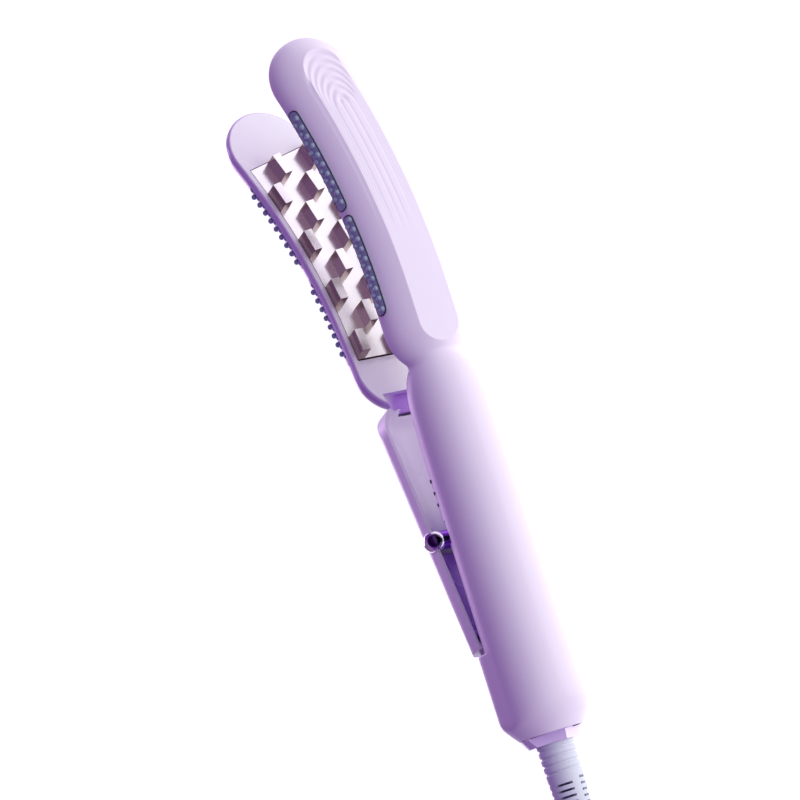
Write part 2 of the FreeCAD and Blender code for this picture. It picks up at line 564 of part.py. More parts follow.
def build_arm():
    n = arm_nodes
    n["arm_back"] = build_arm_back()
    n["arm_face"] = build_arm_face()
    n["arm_plate"] = crimp_plate(ARM_FACE_Y, -1, False)
    carrier_y = ARM_FACE_Y + PLATE_T
    n["arm_plate_carrier"] = band(PLATE_S0 + 1, PLATE_S1 - 1, 10.4, 9.6, carrier_y, carrier_y + 1.8).cut(
        band(PLATE_S0 + 7, PLATE_S1 - 7, 5.4, 5.4, carrier_y - 1, carrier_y + 3))
    n["arm_heater"] = band(PLATE_S0 + 8, PLATE_S1 - 8, 5.0, 5.0, carrier_y, carrier_y + 1.2)
    for name, (s0, s1) in zip(("arm_bead_strip_tip", "arm_bead_strip_neck"), ARM_STRIPS):
        n[name] = bead_strip(s0, s1, ARM_BACK_HALF, ARM_STRIP_Y, arm_skin(STRIP_PROUD), False)
    n["lever_liner"] = box(LEVER_X0 + 2.2, TROUGH_X1 - 0.4, LEVER_FLOOR_Y, LEVER_FLOOR_Y + 0.8, -3.9, 3.9)
    n["arm_wires"] = Part.makeCompound(
        [rod(0.5, V(LEVER_X0 + 3, LEVER_FLOOR_Y + 1.4, z), V(141, LEVER_FLOOR_Y + 1.4, z))
         for z in (-3.2, -1.9, 2.5)])
    bushes = []
    for side in (-1, 1):
        a, b = V(HINGE_X, HINGE_Y, side * EAR_IN), V(HINGE_X, HINGE_Y, side * EAR_OUT)
        bushes.append(rod(BUSH_R, a, b).cut(rod(PIN_R + HINGE_CLEAR, a, b)))
    n["hinge_bushes"] = Part.makeCompound(bushes)
    dome = Part.makeSphere(BOLT_R, V(BOLT_X, BOLT_Y, BOLT_DOME_Z)).common(
        box(BOLT_X - 9, BOLT_X + 9, 0, 20, BOLT_DOME_Z, 30))
    n["lock_bolt"] = bolt_axis(BOLT_Z0, BOLT_DOME_Z, BOLT_R).fuse(dome)
    n["arm_screws"] = Part.makeCompound(
        [build_screw(*arm_screw_place(s), -1, 3.0) for s in ARM_SCREWS])


def arm_screw_place(s):
    x, z = plan(s, 0)
    return x, ARM_SEAM_Y + 2.5, z


# ---------------------------------------------------------------- cord, put-away coil and plug
def corner_radius(a, b, c):
    """Largest neat arc at b: 0.45 of the shorter run over the tangent of half the turn."""
    run = min((b - a).Length, (c - b).Length)
    return 0.45 * run / math.tan((b - a).getAngle(c - b) / 2)


def route_tube(points, r, label):
    """A tube of straight runs joined by tangent arcs."""
    pts = [V(*p) for p in points]
    edges, here, radii = [], pts[0], []
    for a, b, c in zip(pts, pts[1:], pts[2:]):
        turn = (b - a).getAngle(c - b)
        radius = corner_radius(a, b, c)
        radii.append(radius)
        cut = radius * math.tan(turn / 2)
        u, w = (a - b).normalize(), (c - b).normalize()
        p0, p1 = b + u * cut, b + w * cut
        bis = (u + w).normalize()
        mid = b + bis * (radius / math.cos(turn / 2) - radius)
        edges.append(Part.LineSegment(here, p0).toShape())
        edges.append(arc3(p0, mid, p1))
        here = p1
    edges.append(Part.LineSegment(here, pts[-1]).toShape())
    wire = Part.Wire(edges)
    disc = Part.Wire([Part.Circle(pts[0], pts[1] - pts[0], r).toShape()])
    tube = wire.makePipeShell([disc], True, False)
    ratio = tube.Volume / (math.pi * r * r * wire.Length)
    print(label, "length %.1f" % wire.Length, "least radius %.1f" % min(radii), "volume ratio %.4f" % ratio)
    return tube


def build_cord():
    n = main_nodes
    n["cord_lead"] = Part.makeCompound([route_tube(LEAD, CORD_R, "lead"), route_tube(TAIL, CORD_R, "tail")])
    cx, cy = COIL_C
    axis = V(cx, cy, REST_Z)
    ring = Part.makeCylinder(COIL_R_OUT, COIL_H, axis).cut(Part.makeCylinder(COIL_R_IN, COIL_H, axis))
    n["cord_coil"] = ring
    mid = (COIL_R_OUT + COIL_R_IN) / 2
    wide = COIL_R_OUT - COIL_R_IN
    x = cx - mid
    over = box(x - wide / 2 - TIE_T, x + wide / 2 + TIE_T, cy - TIE_WIDE / 2, cy + TIE_WIDE / 2,
               REST_Z, REST_Z + COIL_H + TIE_T)
    n["cord_tie"] = over.cut(ring)
    px, py, pz = PLUG_C
    body = box(px, px + PLUG_L, py - PLUG_W / 2, py + PLUG_W / 2, pz - PLUG_T / 2, pz + PLUG_T / 2)
    body = body.makeFillet(4.0, [e for e in body.Edges if e.BoundBox.XLength > 5])
    n["plug_body"] = body
    pins = []
    for side in (-1, 1):
        y = py + side * PIN_PLUG_GAP / 2
        a, b = V(px + PLUG_L, y, pz), V(px + PLUG_L + PIN_PLUG_L, y, pz)
        pins.append(rod(PIN_PLUG_R, a, b))
    n["plug_pins"] = Part.makeCompound(pins)


# ---------------------------------------------------------------- build and export
build_main()
build_arm()
build_cord()
for name, shape in arm_nodes.items():
    main_nodes[name] = swing(shape)
for name, shape in main_nodes.items():
    shape.translate(ORIGIN * -1)
    if not shape.isValid():
        print("INVALID", name)
    b = shape.BoundBox
    print("%-22s %2d solids  vol %9.1f  x %7.1f %7.1f  y %7.1f %7.1f  z %6.1f %6.1f" % (
        name, len(shape.Solids), shape.Volume, b.XMin, b.XMax, b.YMin, b.YMax, b.ZMin, b.ZMax))
    shape.exportStep("parts/%s.step" % name)
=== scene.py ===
"""Looks of the hair crimper: materials, fine surfaces, cord, light and camera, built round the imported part.

Lengths in the helpers below are millimetres in the part's own drawing frame: X along the handle's axis,
Y from the handle arm to the lever arm, Z along the hinge, lever arm closed. W() and WA() turn them into
metres in the row frame, for the handle arm and for the lever arm swung open.
"""
import bpy
import bmesh
import json
import math
from mathutils import Matrix, Vector


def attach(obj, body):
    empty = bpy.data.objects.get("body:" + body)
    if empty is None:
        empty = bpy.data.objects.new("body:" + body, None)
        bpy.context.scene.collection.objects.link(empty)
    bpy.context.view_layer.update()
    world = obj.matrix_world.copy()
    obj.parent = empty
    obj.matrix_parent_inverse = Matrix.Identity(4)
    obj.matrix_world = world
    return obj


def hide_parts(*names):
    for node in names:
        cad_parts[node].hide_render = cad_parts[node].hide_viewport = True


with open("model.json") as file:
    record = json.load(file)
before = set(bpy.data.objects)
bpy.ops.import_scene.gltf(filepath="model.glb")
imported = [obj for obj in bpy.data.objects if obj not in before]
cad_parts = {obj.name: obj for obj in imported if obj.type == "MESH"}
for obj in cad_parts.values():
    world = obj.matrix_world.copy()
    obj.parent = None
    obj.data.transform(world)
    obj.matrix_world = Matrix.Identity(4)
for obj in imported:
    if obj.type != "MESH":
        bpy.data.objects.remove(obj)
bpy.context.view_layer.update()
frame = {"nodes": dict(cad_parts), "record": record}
N = frame["nodes"]

HX, HY = 30.0, 8.3                      # hinge axis
OPEN = math.radians(10.8)               # the lever arm's turn from closed to rest
REST_Z = -13.2                          # the side that the tool lies on
CURVE_START, CURVE_R = 149.0, 245.0     # where the heads begin to curve towards +Z, and how tightly
CORD_Y = 2.4                            # the cord's axis where it leaves the handle
BOLT_X, BOLT_Y = 73.0, 6.8              # the lock bolt's axis, lever arm closed


def W(x, y, z):
    """Row-frame point of a drawing point on the handle arm."""
    return Vector(((x - HX) / 1000, y / 1000, (z - REST_Z) / 1000))


def WA(x, y, z):
    """Row-frame point of a drawing point on the lever arm, swung open."""
    dx, dy = x - HX, y - HY
    cos, sin = math.cos(OPEN), math.sin(OPEN)
    return W(HX + dx * cos - dy * sin, HY + dx * sin + dy * cos, z)


def plan(s, q):
    """X and Z of the point at station s along a head's curved centre line and q across it."""
    if s <= CURVE_START:
        return s, q
    a = (s - CURVE_START) / CURVE_R
    return CURVE_START + (CURVE_R - q) * math.sin(a), CURVE_R - (CURVE_R - q) * math.cos(a)


# ------------------------------------------------------------ materials
GRAIN_DEPTH = 0.0002
ROUGHNESS_DRIFT = 60.0
PLASTIC_GRAIN, METAL_GRAIN = 2500.0, 900.0


def node_mat(name):
    m = bpy.data.materials.new(name)
    m.use_nodes = True
    nt = m.node_tree
    return m, nt, nt.nodes["Principled BSDF"]


def grain(nt, bsdf, scale, strength, rough):
    """Fine bump from noise, and a slow drift of roughness between the two values of rough."""
    tc = nt.nodes.new("ShaderNodeTexCoord")
    tex = nt.nodes.new("ShaderNodeTexNoise")
    tex.inputs["Scale"].default_value = scale
    tex.inputs["Detail"].default_value = 4.0
    nt.links.new(tc.outputs["Object"], tex.inputs["Vector"])
    bump = nt.nodes.new("ShaderNodeBump")
    bump.inputs["Strength"].default_value = strength
    bump.inputs["Distance"].default_value = GRAIN_DEPTH
    nt.links.new(tex.outputs["Fac"], bump.inputs["Height"])
    nt.links.new(bump.outputs["Normal"], bsdf.inputs["Normal"])
    slow = nt.nodes.new("ShaderNodeTexNoise")
    slow.inputs["Scale"].default_value = ROUGHNESS_DRIFT
    nt.links.new(tc.outputs["Object"], slow.inputs["Vector"])
    span = nt.nodes.new("ShaderNodeMapRange")
    span.inputs["To Min"].default_value = rough[0]
    span.inputs["To Max"].default_value = rough[1]
    nt.links.new(slow.outputs["Fac"], span.inputs["Value"])
    nt.links.new(span.outputs["Result"], bsdf.inputs["Roughness"])


def plain(name, color, rough, metallic=0.0, bump=0.08, specular=None):
    """One even colour with grain."""
    m, nt, b = node_mat(name)
    b.inputs["Base Color"].default_value = (*color, 1)
    b.inputs["Metallic"].default_value = metallic
    if specular is not None:
        b.inputs["Specular IOR Level"].default_value = specular
    grain(nt, b, PLASTIC_GRAIN, bump, rough)
    return m


def tinted(name, stops, rough, bump, mask, metallic=0.0, scale=PLASTIC_GRAIN):
    """Colour that runs between two tones; stops are two values of the socket that mask(nt, tc) gives."""
    m, nt, b = node_mat(name)
    b.inputs["Metallic"].default_value = metallic
    grain(nt, b, scale, bump, rough)
    tc = nt.nodes.new("ShaderNodeTexCoord")
    ramp = nt.nodes.new("ShaderNodeValToRGB")
    for element, (at, color) in zip(ramp.color_ramp.elements, stops):
        element.position = at
        element.color = (*color, 1)
    nt.links.new(mask(nt, tc), ramp.inputs["Fac"])
    nt.links.new(ramp.outputs["Color"], b.inputs["Base Color"])
    return m


def facing(direction, both_ways=False):
    """Mask: how far the surface faces along direction, or along it and against it."""
    def build(nt, tc):
        dot = nt.nodes.new("ShaderNodeVectorMath")
        dot.operation = "DOT_PRODUCT"
        dot.inputs[1].default_value = direction
        nt.links.new(tc.outputs["Normal"], dot.inputs[0])
        if not both_ways:
            return dot.outputs["Value"]
        unsigned = nt.nodes.new("ShaderNodeMath")
        unsigned.operation = "ABSOLUTE"
        nt.links.new(dot.outputs["Value"], unsigned.inputs[0])
        return unsigned.outputs["Value"]
    return build


ALONG_FROM, ALONG_TO = -0.05, 0.15


def stop_at(metres):
    """Value of the along() mask at a coordinate."""
    return (metres - ALONG_FROM) / (ALONG_TO - ALONG_FROM)


def along(axis):
    """Mask: one object coordinate, from 0 at ALONG_FROM to 1 at ALONG_TO."""
    def build(nt, tc):
        sep = nt.nodes.new("ShaderNodeSeparateXYZ")
        span = nt.nodes.new("ShaderNodeMapRange")
        span.inputs["From Min"].default_value = ALONG_FROM
        span.inputs["From Max"].default_value = ALONG_TO
        nt.links.new(tc.outputs["Object"], sep.inputs["Vector"])
        nt.links.new(sep.outputs[axis], span.inputs["Value"])
        return span.outputs["Result"]
    return build


def near(point, radius, around_x=False):
    """Mask: distance from point, or from the line along X through it, over radius."""
    def build(nt, tc):
        keep = nt.nodes.new("ShaderNodeVectorMath")
        keep.operation = "MULTIPLY"
        keep.inputs[1].default_value = (0.0 if around_x else 1.0, 1.0, 1.0)
        gap = nt.nodes.new("ShaderNodeVectorMath")
        gap.operation = "DISTANCE"
        gap.inputs[1].default_value = (0.0 if around_x else point[0], point[1], point[2])
        span = nt.nodes.new("ShaderNodeMapRange")
        span.inputs["From Max"].default_value = radius
        nt.links.new(tc.outputs["Object"], keep.inputs[0])
        nt.links.new(keep.outputs["Vector"], gap.inputs[0])
        nt.links.new(gap.outputs["Value"], span.inputs["Value"])
        return span.outputs["Result"]
    return build


# Lilac and the tones that the tinted materials run to: the pale one is a painted highlight, the three darker
# ones are painted shade
LILAC_TONE, PAINTED_HIGHLIGHT_TONE = (0.78, 0.70, 0.86), (0.93, 0.90, 0.97)
SHADE_TONE, POCKET_SHADE_TONE, TROUGH_SHADE_TONE = (0.66, 0.48, 0.82), (0.45, 0.20, 0.74), (0.36, 0.14, 0.70)

LILAC = plain("lilac", (0.84, 0.77, 0.90), (0.34, 0.44), bump=0.05, specular=0.28)
SILICONE = plain("silicone", (0.33, 0.41, 0.52), (0.30, 0.42), bump=0.12)
CHROME = plain("chrome", (0.80, 0.70, 0.92), (0.03, 0.06), metallic=1.0, bump=0.01)
PLATED = plain("plated", (0.86, 0.74, 0.99), (0.16, 0.22), metallic=0.25, bump=0.02)
GREY = plain("cord_grey", (0.66, 0.69, 0.78), (0.45, 0.55), bump=0.12)
DARK = plain("dark", (0.03, 0.02, 0.05), (0.5, 0.6))
STEEL = plain("steel", (0.6, 0.6, 0.62), (0.2, 0.3), metallic=1.0)
BRASS = plain("brass", (0.75, 0.55, 0.22), (0.25, 0.35), metallic=1.0)
WIRE = plain("wire", (0.7, 0.69, 0.66), (0.4, 0.5))
BOARD = plain("board", (0.03, 0.14, 0.06), (0.35, 0.5))
HEATER = plain("heater", (0.75, 0.73, 0.68), (0.5, 0.7))
TIE = plain("tie", (0.03, 0.03, 0.035), (0.8, 0.95), bump=0.6)
LENS = plain("lens", (0.05, 0.02, 0.10), (0.1, 0.15))
BUTTON = plain("button", (0.50, 0.34, 0.66), (0.35, 0.42))

# Satin plates: pale on the flats and crests; the rosy brown on the sides of the bumps is a painted reflection
# of dark surroundings
PLATE = tinted("plate", ((0.45, (0.44, 0.33, 0.31)), (0.85, (0.90, 0.88, 0.90))), (0.16, 0.24), 0.04,
               facing((0.0, 1.0, 0.0), both_ways=True), metallic=1.0, scale=METAL_GRAIN)
# Frame of the lever arm's plate: a painted highlight, pale where it faces the other arm, and painted shade, a
# darker lilac, on its rim
ARM_PAD_PAINTED_LIGHT = tinted("arm_pad_painted_light", ((0.90, SHADE_TONE), (0.985, PAINTED_HIGHLIGHT_TONE)), (0.22, 0.30), 0.04,
                 facing((math.sin(OPEN), -math.cos(OPEN), 0.0)))
# Hollow of the lever: painted shade, deep violet on the hinge's side of the bolt, lilac beyond
TROUGH = tinted("trough", ((stop_at(0.036), TROUGH_SHADE_TONE), (stop_at(0.054), LILAC_TONE)), (0.24, 0.32), 0.04,
                along("X"))
# Lever arm's back: painted shade, violet in the pocket at the neck, lilac elsewhere
ARM_SHELL_PAINTED_SHADE = tinted("arm_shell_painted_shade", ((0.52, POCKET_SHADE_TONE), (0.72, LILAC_TONE)), (0.30, 0.40), 0.05,
                   near(WA(121.5, 5.0, 0), 0.012))
# Boot: painted shade, dark at the bottom of its slots
BOOT_PAINTED_SHADE = tinted("boot", ((0.42, (0.10, 0.11, 0.20)), (0.46, (0.68, 0.71, 0.80))), (0.42, 0.52), 0.10,
              near(W(0, CORD_Y, 0), 0.010, around_x=True))
# Bolt: violet shaft, bright end
BOLT = tinted("bolt", ((stop_at(0.0234), (0.30, 0.08, 0.66)), (stop_at(0.0242), (0.88, 0.84, 0.93))),
              (0.04, 0.08), 0.01, along("Z"), metallic=1.0)
# Ball on the bolt: chrome with a painted reflection, dark where it faces -Y and up, pale round that
BALL = tinted("lock_ball", ((0.74, (0.93, 0.88, 0.97)), (0.86, (0.05, 0.02, 0.09))), (0.03, 0.06), 0.01,
              facing((0.0, -0.88, 0.47)), metallic=1.0)

by_slot = {"lilac_shell": LILAC, "lilac_button": BUTTON, "plate_metal": PLATE, "dark_plastic": DARK,
           "heater": HEATER, "silicone": SILICONE, "steel": STEEL, "brass": BRASS, "lens": LENS,
           "board": BOARD, "wire": WIRE, "plated": CHROME, "cord_grey": GREY, "tie": TIE}
by_node = {"arm_face": ARM_PAD_PAINTED_LIGHT, "arm_back": ARM_SHELL_PAINTED_SHADE, "lock_bolt": BOLT, "end_bezel": PLATED,
           "cord_boot": BOOT_PAINTED_SHADE}
for sub in frame["record"]["subparts"]:
    o = N[sub["node"]]
    o.data.materials.clear()
    o.data.materials.append(by_node.get(sub["node"], by_slot[sub["material_slot"]]))


# ------------------------------------------------------------ surfaces
WELD = 0.00001


def mesh(name, verts, faces, mat, body, angle=35.0):
    """Smooth-shaded piece on a body, with sharp edges past angle."""
    me = bpy.data.meshes.new(name)
    me.from_pydata([tuple(v) for v in verts], [], faces)
    bm = bmesh.new()
    bm.from_mesh(me)
    bmesh.ops.remove_doubles(bm, verts=bm.verts, dist=WELD)
    bmesh.ops.recalc_face_normals(bm, faces=bm.faces)
    limit = math.radians(angle)
    for e in bm.edges:
        if len(e.link_faces) == 2 and e.calc_face_angle(0.0) > limit:
            e.smooth = False
    for f in bm.faces:
        f.smooth = True
    bm.to_mesh(me)
    bm.free()
    o = bpy.data.objects.new(name, me)
    bpy.context.collection.objects.link(o)
    me.materials.append(mat)
    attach(o, body)
    return o


def ring_faces(rings, n):
    """Quads between successive closed rings of n points."""
    faces = []
    for j in range(rings - 1):
        for i in range(n):
            k = (i + 1) % n
            faces.append((j * n + i, j * n + k, (j + 1) * n + k, (j + 1) * n + i))
    return faces


def smooth(t):
    """Soft step from 0 to 1."""
    t = max(0.0, min(1.0, t))
    return t * t * (3 - 2 * t)


def interp(table, x):
    """Catmull-Rom through (x, value) pairs."""
    if x <= table[0][0]:
        return table[0][1]
    if x >= table[-1][0]:
        return table[-1][1]
    i = max(k for k in range(len(table) - 1) if table[k][0] <= x)
    p1, p2 = table[i], table[i + 1]
    p0 = table[i - 1] if i else p1
    p3 = table[i + 2] if i + 2 < len(table) else p2
    h = p2[0] - p1[0]
    t = (x - p1[0]) / h
    m1 = (p2[1] - p0[1]) / (p2[0] - p0[0]) * h
    m2 = (p3[1] - p1[1]) / (p3[0] - p1[0]) * h
    return ((2 * t ** 3 - 3 * t ** 2 + 1) * p1[1] + (t ** 3 - 2 * t ** 2 + t) * m1
            + (3 * t ** 2 - 2 * t ** 3) * p2[1] + (t ** 3 - t ** 2) * m2)


# ------------------------------------------------------------ head of the handle arm
HEAD_S0, HEAD_S1, HEAD_HALF = 123.0, 241.2, 14.5
HEAD_CROWN, HEAD_RIM, HEAD_ROUND = -9.6, 1.6, 10.4
PANEL_Y, PANEL_HALF = -9.25, 7.0
SIDE_POWER = 0.4545           # fullness of the side between panel and rim
GROOVED_HALF = 9.0
HEAD_TIP_STEPS, HEAD_SIDE_STEPS = 48, 230
GROOVE_START, GROOVE_FADE = 163.0, 20.0
LINE_WIDTH, LINE_DEPTH = 0.26, 0.17            # the fine legs
RIPPLE_WIDTH, RIPPLE_DEPTH = 0.62, 0.30        # what the ripples at the top add to them
# Half-width, top station and arch height of each nested arch line
ARCHES = [(7.7, 231.6, 11.0), (6.8, 228.4, 10.2), (5.9, 225.3, 9.4), (5.0, 222.2, 8.6), (4.1, 219.1, 7.4),
          (1.2, 215.6, 2.4)]


def groove(s, q):
    """Depth of the arch lines pressed in the head's back: broad ripples at the top, fine legs below."""
    depth = 0.0
    fade = smooth((s - GROOVE_START) / GROOVE_FADE)
    if fade <= 0:
        return 0.0
    for w, top, h in ARCHES:
        sc = top - h
        if s > sc:
            u, v = (s - sc) / h, q / w
            rho = math.hypot(u, v)
            grad = math.hypot(u / h, v / w) / max(rho, 1e-6)
            d = (rho - 1) / max(grad, 1e-6)
            broad = smooth(u * 1.15)
        else:
            d, broad = abs(q) - w, 0.0
        width = LINE_WIDTH + RIPPLE_WIDTH * broad
        depth += (LINE_DEPTH + RIPPLE_DEPTH * broad) * math.exp(-(d / width) ** 2)
    return depth * fade


def head_y(t):
    """Height of the head's back at distance t from its spine: flat panel, firm crease, full side."""
    if t <= PANEL_HALF:
        return PANEL_Y
    u = min(1.0, (t - PANEL_HALF) / (HEAD_HALF - PANEL_HALF))
    return HEAD_RIM - (HEAD_RIM - PANEL_Y) * (1 - u) ** SIDE_POWER


def spine_rays():
    """Start station on the head's spine and outward direction of each ray round the head."""
    c0, c1 = HEAD_S0 + HEAD_HALF, HEAD_S1 - HEAD_HALF
    rays = []
    for start, end, top in ((c1, c0, math.pi / 2), (c0, c1, -math.pi / 2)):
        for i in range(HEAD_TIP_STEPS):
            a = top - math.pi * i / HEAD_TIP_STEPS
            rays.append((start, math.cos(a), math.sin(a)))
        side = -1.0 if top > 0 else 1.0
        rays += [(start + (end - start) * i / HEAD_SIDE_STEPS, 0.0, side) for i in range(HEAD_SIDE_STEPS)]
    return rays


def head_rows():
    """Distance from the spine and height of each row of points: over the back, round the rim and inside."""
    panel = [6.72 * i / 21 for i in range(22)]
    crease = [6.9, 6.97, 7.03, 7.1, 7.25]
    half = HEAD_HALF / 2
    side = [half + half * math.sin(math.pi / 2 * i / 22) for i in range(1, 23)]
    rim = [(14.5, 1.25), (14.42, 1.5), (14.2, 1.6), (12.4, 1.6), (12.3, 1.5), (12.3, -4.0)]
    return [(t, head_y(t)) for t in panel + crease + side] + rim


def head_skin():
    rays, rows = spine_rays(), head_rows()
    verts = []
    for t, y in rows:
        for start, ds, dq in rays:
            s, q = start + t * ds, t * dq
            pressed = groove(s, q) if t < GROOVED_HALF else 0.0
            x, z = plan(s, q)
            verts.append(W(x, y + pressed, max(z, REST_Z)))
    return mesh("head_shell", verts, ring_faces(len(rows), len(rays)), LILAC, "handle_arm", angle=50)


# ------------------------------------------------------------ handle
# Radius along X up to the dome at the neck, and of the turned rounding at the cord end
HANDLE = [(20.0, 13.6), (40.0, 13.5), (60.0, 13.4), (80.0, 13.35), (98.0, 13.2), (111.0, 12.9),
          (117.0, 12.4), (121.0, 11.6), (124.5, 10.2), (127.5, 7.9), (129.5, 4.5), (130.5, 2.0)]
END = [(4.6, 10.2), (6.0, 11.4), (7.7, 12.7), (10.0, 14.2), (13.0, 15.5), (17.0, 16.5), (23.0, 17.5),
       (34.0, 18.5)]
FLAT_Y, FLAT_HALF = 5.1, 12.6          # flat of the handle under the lever
HOOD_X = 33.4                          # where the full section ends and the flat begins
DOME_X = 130.3                         # top of the dome at the neck
FULL_R, FULL_CORNER = 13.6, 7.9
CORNER_Y, CORNER_Z = 5.8, 5.7
END_BLEND, NECK_BLEND = 0.8, 3.2
SEAT_DEPTH, SEAT_SHARE = 0.45, 0.74    # shallow seat of the inner cover
SEAT_X0, SEAT_X1 = 36.0, 128.0
MOUTH_R = 9.5                          # opening for the plated end piece
HINGE_X0, HINGE_X1 = 31.0, 81.0        # opening over the hinge
HINGE_ROOM, HINGE_ROOM_Y = 10.7, 3.9
BOLT_ROOM, BOLT_ROOM_Y = 3.7, 3.1      # notch for the bolt
ROUND_STEPS = 96
FLAT_STEPS = [-1.0, -0.97, -0.9, -0.8, -0.745, -0.735, -0.6, -0.4, -0.2,
              0, 0.2, 0.4, 0.6, 0.735, 0.745, 0.8, 0.9, 0.97]


def full_radius(dy, dz):
    """Distance from the axis to the cord end's outline in direction (dy, dz)."""
    if dy <= 0:
        return FULL_R
    lo_r, hi_r = 8.0, 22.0
    for _ in range(24):
        r = (lo_r + hi_r) / 2
        y, z = r * dy, r * abs(dz)
        ex, ez = max(0.0, y - CORNER_Y), max(0.0, z - CORNER_Z)
        inside = math.hypot(ex, ez) < FULL_CORNER
        lo_r, hi_r = (r, hi_r) if inside else (lo_r, r)
    return lo_r


def turned_radius(dy, dz, r):
    """Distance from the handle's axis to a circle of radius r about the cord's axis."""
    return CORD_Y * dy + math.sqrt(r * r - (CORD_Y * dz) ** 2)


def soft_min(a, b, k):
    """The lesser of a and b, rounded over a span k."""
    h = max(0.0, min(1.0, 0.5 + 0.5 * (b - a) / k))
    return b + (a - b) * h - k * h * (1 - h)


def head_radius(x, dy, dz):
    """Distance from the handle's axis to the skin of the head in direction (dy, dz), or 0 outside it."""
    def inside(r):
        y, z = r * dy, r * dz
        t = math.hypot(max(0.0, HEAD_S0 + HEAD_HALF - x), z)
        return t < HEAD_HALF and head_y(t) < y < HEAD_RIM
    if not inside(0.0):
        return 0.0
    lo_r, hi_r = 0.0, 16.0
    for _ in range(20):
        r = (lo_r + hi_r) / 2
        lo_r, hi_r = (r, hi_r) if inside(r) else (lo_r, r)
    return lo_r


def blended(x, r, dy, dz):
    """Handle radius run softly into the head's skin at the neck."""
    head = head_radius(x, dy, dz)
    if head <= 0.0 or head < r - NECK_BLEND:
        return r
    if head > r + NECK_BLEND:
        return head - 0.04
    return -soft_min(-r, -head, NECK_BLEND)


def end_radius(x, dy, dz):
    """Distance from the handle's axis to the skin of the full section at station x."""
    return soft_min(full_radius(dy, dz), turned_radius(dy, dz, interp(END, x)), END_BLEND)


def full_ring(x, inset=0.0):
    """Ring of the closed section at the cord end; inset draws its +Y side in."""
    r = interp(HANDLE, x)
    corner = math.atan2(FLAT_Y, math.sqrt(r * r - FLAT_Y ** 2))
    pts = []
    for i in range(ROUND_STEPS):
        a = corner - (math.pi + 2 * corner) * i / ROUND_STEPS
        dy, dz = math.sin(a), math.cos(a)
        rr = end_radius(x, dy, dz) - inset * smooth((dy - 0.1) * 4)
        pts.append((rr * dy, rr * dz))
    for u in FLAT_STEPS:
        z = math.sqrt(r * r - FLAT_Y ** 2) * u
        d = math.hypot(FLAT_Y, z)
        rr = end_radius(x, FLAT_Y / d, z / d) - inset
        pts.append((rr * FLAT_Y / d, rr * z / d))
    return [W(x, y, max(z, REST_Z)) for y, z in pts]


def flat_ring(x):
    """Ring of the section with a flat under the lever, run into the head at the neck."""
    r = interp(HANDLE, x)
    flat_half = math.sqrt(max(1.0, r * r - FLAT_Y ** 2))
    corner = math.atan2(FLAT_Y, flat_half)
    pts = []
    for i in range(ROUND_STEPS):
        a = corner - (math.pi + 2 * corner) * i / ROUND_STEPS
        dy, dz = math.sin(a), math.cos(a)
        rr = blended(x, r, dy, dz)
        pts.append((min(rr * dy, FLAT_Y), rr * dz))
    for u in FLAT_STEPS:
        seat = abs(u) < SEAT_SHARE and SEAT_X0 < x < SEAT_X1
        pts.append((FLAT_Y - (SEAT_DEPTH if seat else 0.0), flat_half * u))
    return [W(x, y, max(z, REST_Z)) for y, z in pts]


def circle_ring(x, r):
    """Ring with as many points as a handle ring, started at the same corner."""
    corner = math.atan2(FLAT_Y, FLAT_HALF)
    flat_steps = len(FLAT_STEPS)
    angles = [corner - (math.pi + 2 * corner) * i / ROUND_STEPS for i in range(ROUND_STEPS)]
    angles += [math.pi - corner - (math.pi - 2 * corner) * i / flat_steps for i in range(flat_steps)]
    return [W(x, CORD_Y + r * math.sin(a), r * math.cos(a)) for a in angles]


def open_in_shell(p):
    """True in the mouth of the handle over the hinge, and where the closed lever's bolt sinks in."""
    x, y, z = p.x * 1000 + HX, p.y * 1000, p.z * 1000 + REST_Z
    hinge = HINGE_X0 < x < HINGE_X1 and abs(z) < HINGE_ROOM and y > HINGE_ROOM_Y
    bolt = abs(x - BOLT_X) < BOLT_ROOM and y > BOLT_ROOM_Y and z > 0
    return hinge or bolt


def handle_skin():
    """Handle from the plated end piece's opening to the dome, with rings close together where it turns."""
    rings = [circle_ring(MOUTH_R, 0.5), circle_ring(MOUTH_R, MOUTH_R), circle_ring(5.0, MOUTH_R),
             circle_ring(4.65, MOUTH_R + 0.15)]
    rings += [full_ring(4.6 + 0.35 * i) for i in range(14)]
    rings += [full_ring(9.6 + 0.8 * i) for i in range(29)]
    rings += [full_ring(32.6), full_ring(33.0), full_ring(33.25, 0.1), full_ring(HOOD_X, 0.35)]
    grip_xs = [37 + 1.5 * i for i in range(54)] + [BOLT_X - BOLT_ROOM, BOLT_X + BOLT_ROOM]
    dome_xs = [118 + 0.25 * i for i in range(50)]
    rings += [flat_ring(x) for x in [HOOD_X, 33.7, 35.9, 36.1] + sorted(grip_xs) + dome_xs]
    n = len(rings[0])
    rings.append([W(DOME_X, 0, 0)] * n)
    verts = [v for ring in rings for v in ring]
    faces = []
    for face in ring_faces(len(rings), n):
        middle = sum((verts[i] for i in face), Vector()) / 4
        if not open_in_shell(middle):
            faces.append(face)
    return mesh("handle_shell", verts, faces, LILAC, "handle_arm", angle=40)


shell = head_skin()
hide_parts("main_shell")
grip = handle_skin()


# ------------------------------------------------------------ hollow of the lever
TROUGH_X0, TROUGH_X1 = 35.6, 119.4
TROUGH_HALF, TROUGH_END_R = 12.2, 8.0
TROUGH_END_X = 111.5                   # where its far end begins to round off
TROUGH_RIM_Y, TROUGH_DEEP = 5.75, 5.0
TROUGH_LONG_STEPS, TROUGH_WIDE_STEPS = 150, 48
TROUGH_WALL = 0.0004


def trough_half(x):
    """Half-width of the lever's trough at station x."""
    over = x - TROUGH_END_X
    if over <= 0:
        return TROUGH_HALF
    return TROUGH_HALF - TROUGH_END_R + math.sqrt(max(0.0, TROUGH_END_R ** 2 - over * over))


